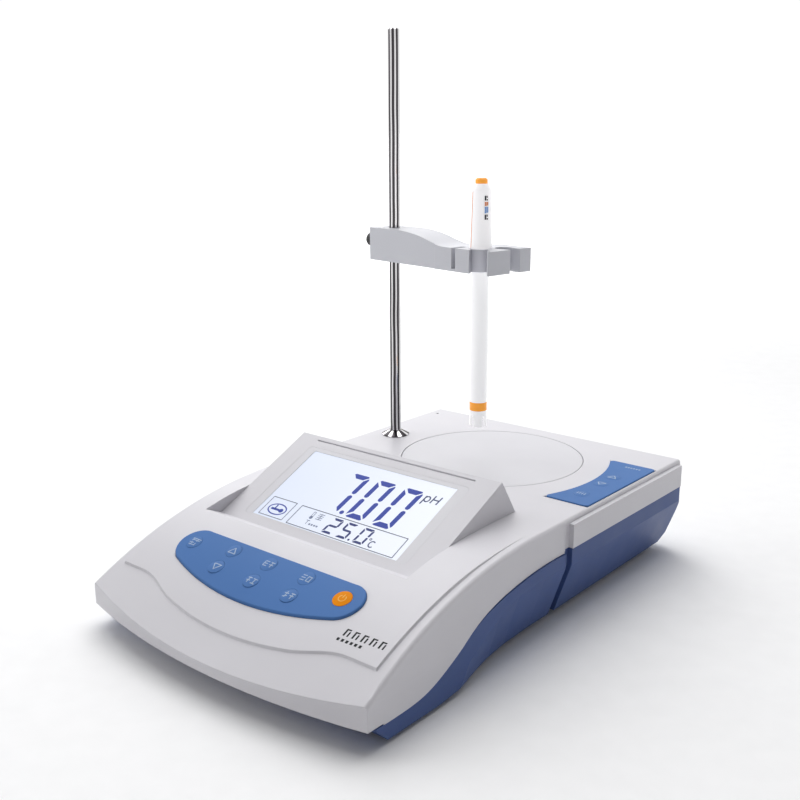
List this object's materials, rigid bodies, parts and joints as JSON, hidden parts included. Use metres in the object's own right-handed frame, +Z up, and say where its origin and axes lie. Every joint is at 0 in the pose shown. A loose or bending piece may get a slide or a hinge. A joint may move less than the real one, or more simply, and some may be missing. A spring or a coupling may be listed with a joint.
{
  "type": "ph meter",
  "caption": "Bench pH meter with a sloping lit display, membrane keypads, a built-in magnetic stirrer, and an electrode held on a rod and arm.",
  "frame": {"origin": "under the middle of the meter, on the bench", "axes": "+X to the user's right, +Y to the rear, +Z up"},
  "size_m": [0.2304, 0.3642, 0.3641],
  "materials": {
    "cover_white": "fine moulded texture",
    "base_blue": "fine moulded texture",
    "keypad_blue": "satin",
    "key_blue": "satin",
    "key_orange": "satin",
    "display_lens": "clear window with a pale printed border",
    "lcd": "lit pale blue",
    "backlight": "light guide",
    "stir_plate": "satin",
    "rod_steel": "polished",
    "zinc_steel": "zinc plated",
    "arm_grey": "satin",
    "grommet": "matt",
    "knob_black": "ribbed",
    "rubber_dark": "matt",
    "electrode_white": "smooth",
    "electrode_orange": "smooth",
    "electrode_tube": "milky polycarbonate",
    "electrode_glass": "clear",
    "silver": "drawn wire",
    "pcb": "solder mask",
    "chip_black": "moulded",
    "socket_metal": "nickel plated",
    "socket_black": "moulded",
    "brass": "turned",
    "magnet": "nickel plated",
    "rear_panel": "fine moulded texture"
  },
  "bodies": {
    "case": {"backlight": "backlight", "base_shell": "base_blue", "board_chips": "chip_black", "board_screws": "zinc_steel", "case_screws": "zinc_steel", "display_window": "display_lens", "front_feet": "rubber_dark", "key_board": "pcb", "keypad": "keypad_blue", "lcd_frame": "socket_black", "lcd_panel": "lcd", "main_board": "pcb", "measuring_socket": "socket_metal", "motor_bracket": "zinc_steel", "power_jack": "socket_black", "rear_feet": "rubber_dark", "rear_panel": "rear_panel", "reference_post": "brass", "rod_flange": "rod_steel", "rod_nut": "zinc_steel", "serial_port": "socket_metal", "stand_rod": "rod_steel", "stir_keypad": "keypad_blue", "stir_motor": "zinc_steel", "stir_plate": "stir_plate", "temperature_socket": "socket_black", "top_cover": "cover_white"},
    "sleeve": {"rod_sleeve": "arm_grey"},
    "arm": {"holder_arm": "arm_grey", "clip_grommet": "grommet"},
    "clamp_shoe": {"clamp_shoe": "brass"},
    "clamp_knob": {"clamp_knob": "knob_black"},
    "electrode": {"electrode_handle": "electrode_white", "electrode_cap": "electrode_orange", "electrode_shaft": "electrode_tube", "electrode_ring": "electrode_orange", "tip_guard": "electrode_tube", "glass_bulb": "electrode_glass", "reference_element": "silver"},
    "stir_rotor": {"magnet_carrier": "socket_black", "drive_magnets": "magnet", "motor_shaft": "zinc_steel"},
    "key_mode": {"key_mode": "key_blue"},
    "key_up": {"key_up": "key_blue"},
    "key_down": {"key_down": "key_blue"},
    "key_calibrate": {"key_calibrate": "key_blue"},
    "key_store": {"key_store": "key_blue"},
    "key_temperature": {"key_temperature": "key_blue"},
    "key_enter": {"key_enter": "key_blue"},
    "key_power": {"key_power": "key_orange"},
    "stir_key_run": {"stir_key_run": "key_blue"},
    "stir_key_slower": {"stir_key_slower": "key_blue"},
    "stir_key_faster": {"stir_key_faster": "key_blue"}
  },
  "joints": [
    {"name": "sleeve_height", "type": "slide", "parent": "case", "child": "sleeve", "axis": [0, 0, 1], "range_m": [-0.014, 0.13]},
    {"name": "arm_swivel", "type": "hinge", "parent": "sleeve", "child": "arm", "pos_m": [-0.08708, 0.0911, 0.214], "axis": [0, 0, 1], "range_deg": [-40, 200]},
    {"name": "clamp_shoe_slide", "type": "slide", "parent": "arm", "child": "clamp_shoe", "axis": [0.9866, -0.1633, 0], "range_m": [-0.0016, 0.00013]},
    {"name": "clamp_knob_turn", "type": "hinge", "parent": "clamp_shoe", "child": "clamp_knob", "pos_m": [-0.10188, 0.09355, 0.215], "axis": [0.9866, -0.1633, 0], "range_deg": [-720, 60]},
    {"name": "electrode_lift", "type": "slide", "parent": "arm", "child": "electrode", "axis": [0, 0, 1], "range_m": [0, 0.06]},
    {"name": "stirrer_spin", "type": "hinge", "parent": "case", "child": "stir_rotor", "pos_m": [0.00372, 0.09115, 0.053], "axis": [0, 0, 1], "continuous": true},
    {"name": "key_mode_press", "type": "slide", "parent": "case", "child": "key_mode", "axis": [0, 0.3502, -0.9367], "range_m": [0, 0.0005], "stiffness_N_per_m": 400, "springref_m": -0.0002},
    {"name": "key_up_press", "type": "slide", "parent": "case", "child": "key_up", "axis": [0, 0.3502, -0.9367], "range_m": [0, 0.0005], "stiffness_N_per_m": 400, "springref_m": -0.0002},
    {"name": "key_down_press", "type": "slide", "parent": "case", "child": "key_down", "axis": [0, 0.3502, -0.9367], "range_m": [0, 0.0005], "stiffness_N_per_m": 400, "springref_m": -0.0002},
    {"name": "key_calibrate_press", "type": "slide", "parent": "case", "child": "key_calibrate", "axis": [0, 0.3502, -0.9367], "range_m": [0, 0.0005], "stiffness_N_per_m": 400, "springref_m": -0.0002},
    {"name": "key_store_press", "type": "slide", "parent": "case", "child": "key_store", "axis": [0, 0.3502, -0.9367], "range_m": [0, 0.0005], "stiffness_N_per_m": 400, "springref_m": -0.0002},
    {"name": "key_temperature_press", "type": "slide", "parent": "case", "child": "key_temperature", "axis": [0, 0.3502, -0.9367], "range_m": [0, 0.0005], "stiffness_N_per_m": 400, "springref_m": -0.0002},
    {"name": "key_enter_press", "type": "slide", "parent": "case", "child": "key_enter", "axis": [0, 0.3502, -0.9367], "range_m": [0, 0.0005], "stiffness_N_per_m": 400, "springref_m": -0.0002},
    {"name": "key_power_press", "type": "slide", "parent": "case", "child": "key_power", "axis": [0, 0.3502, -0.9367], "range_m": [0, 0.0005], "stiffness_N_per_m": 400, "springref_m": -0.0002},
    {"name": "stir_key_run_press", "type": "slide", "parent": "case", "child": "stir_key_run", "axis": [0, 0, -1], "range_m": [0, 0.0005], "stiffness_N_per_m": 400, "springref_m": -0.0002},
    {"name": "stir_key_slower_press", "type": "slide", "parent": "case", "child": "stir_key_slower", "axis": [0, 0, -1], "range_m": [0, 0.0005], "stiffness_N_per_m": 400, "springref_m": -0.0002},
    {"name": "stir_key_faster_press", "type": "slide", "parent": "case", "child": "stir_key_faster", "axis": [0, 0, -1], "range_m": [0, 0.0005], "stiffness_N_per_m": 400, "springref_m": -0.0002}
  ],
  "couplings": [
    {"joint": "clamp_knob_turn", "follows": "clamp_shoe_slide", "rad_per_m": 7854}
  ]
}
